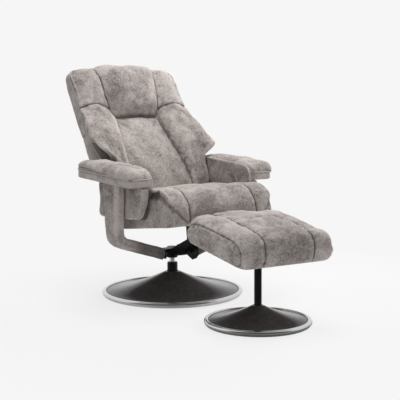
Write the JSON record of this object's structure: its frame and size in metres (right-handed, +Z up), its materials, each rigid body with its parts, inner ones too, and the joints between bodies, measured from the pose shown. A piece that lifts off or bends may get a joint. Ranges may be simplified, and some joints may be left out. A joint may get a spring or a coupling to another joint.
{
  "type": "swivel recliner with footstool",
  "caption": "Upholstered swivel recliner with winged back, padded armrests on bent arm frames and a round disc base, with a matching footstool.",
  "frame": {"origin": "on the floor at the chair's swivel axis, under the middle of its round base", "axes": "+Z up, the sitter faces -Y, +X is to the sitter's left; the footstool stands in front at -Y"},
  "size_m": [0.732, 1.2914, 0.9805],
  "materials": {
    "suede": "mottled suede-look fabric, soft brushed sheen",
    "dark_suede": "the same suede-look fabric, dark in the base's shade",
    "chrome": "polished chrome",
    "black_steel": "black satin paint",
    "plate_steel": "black paint",
    "zinc": "bright zinc plating",
    "bush_plastic": "black moulded plastic",
    "knob_plastic": "black moulded plastic",
    "floor_rubber": "matt black rubber",
    "plywood": "plain plywood"
  },
  "bodies": {
    "base": {"base_floor_pad": "floor_rubber", "base_plate": "plate_steel", "base_ring": "chrome", "base_cover": "dark_suede", "column_sleeve": "black_steel", "column_bush_top": "bush_plastic", "column_bush_bottom": "bush_plastic", "column_thrust_pad": "bush_plastic"},
    "frame": {"column_spindle": "chrome", "hub_bracket": "black_steel", "hub_bolts": "zinc", "mech_plate_left": "black_steel", "mech_plate_right": "black_steel", "spring_housing": "black_steel", "tilt_shaft": "zinc", "tilt_shaft_nuts": "black_steel", "arm_frame_left": "suede", "arm_frame_right": "suede", "armrest_base_left": "suede", "armrest_base_right": "suede", "armrest_pad_left": "suede", "armrest_pad_right": "suede", "arm_panel_left": "suede", "arm_panel_right": "suede", "arm_spacers": "black_steel"},
    "knob": {"tension_knob": "knob_plastic", "knob_spindle": "zinc"},
    "seat": {"seat_board": "plywood", "seat_border": "suede", "seat_cushion": "suede", "seat_bracket": "black_steel", "tilt_bushes": "bush_plastic", "seat_hinge_ears": "black_steel", "hinge_pins": "zinc"},
    "back": {"back_board": "plywood", "back_hinge_ears": "black_steel", "back_shell": "suede", "back_cushion": "suede", "headrest_cushion": "suede", "wing_left": "suede", "wing_right": "suede"},
    "footstool": {"stool_floor_pad": "floor_rubber", "stool_base_plate": "plate_steel", "stool_base_ring": "chrome", "stool_base_cover": "dark_suede", "stool_column": "black_steel", "stool_bracket": "black_steel", "stool_screws": "zinc", "stool_board": "plywood", "stool_cushion": "suede"}
  },
  "joints": [
    {"name": "swivel", "type": "hinge", "parent": "base", "child": "frame", "pos_m": [0, 0, 0], "axis": [0, 0, 1], "continuous": true},
    {"name": "seat_tilt", "type": "hinge", "parent": "frame", "child": "seat", "pos_m": [0, -0.185, 0.255], "axis": [-1, 0, 0], "range_deg": [0, 5]},
    {"name": "back_recline", "type": "hinge", "parent": "seat", "child": "back", "pos_m": [0, 0.112, 0.392], "axis": [-1, 0, 0], "range_deg": [0, 20]},
    {"name": "knob_turn", "type": "hinge", "parent": "frame", "child": "knob", "pos_m": [0, -0.15, 0.197], "axis": [0, -0.9063, -0.4226], "continuous": true},
    {"name": "footstool_slide", "type": "slide", "parent": "base", "child": "footstool", "axis": [0, -1, 0], "range_m": [0, 0.4]}
  ],
  "couplings": [
    {"joint": "back_recline", "follows": "seat_tilt", "ratio": 4}
  ]
}
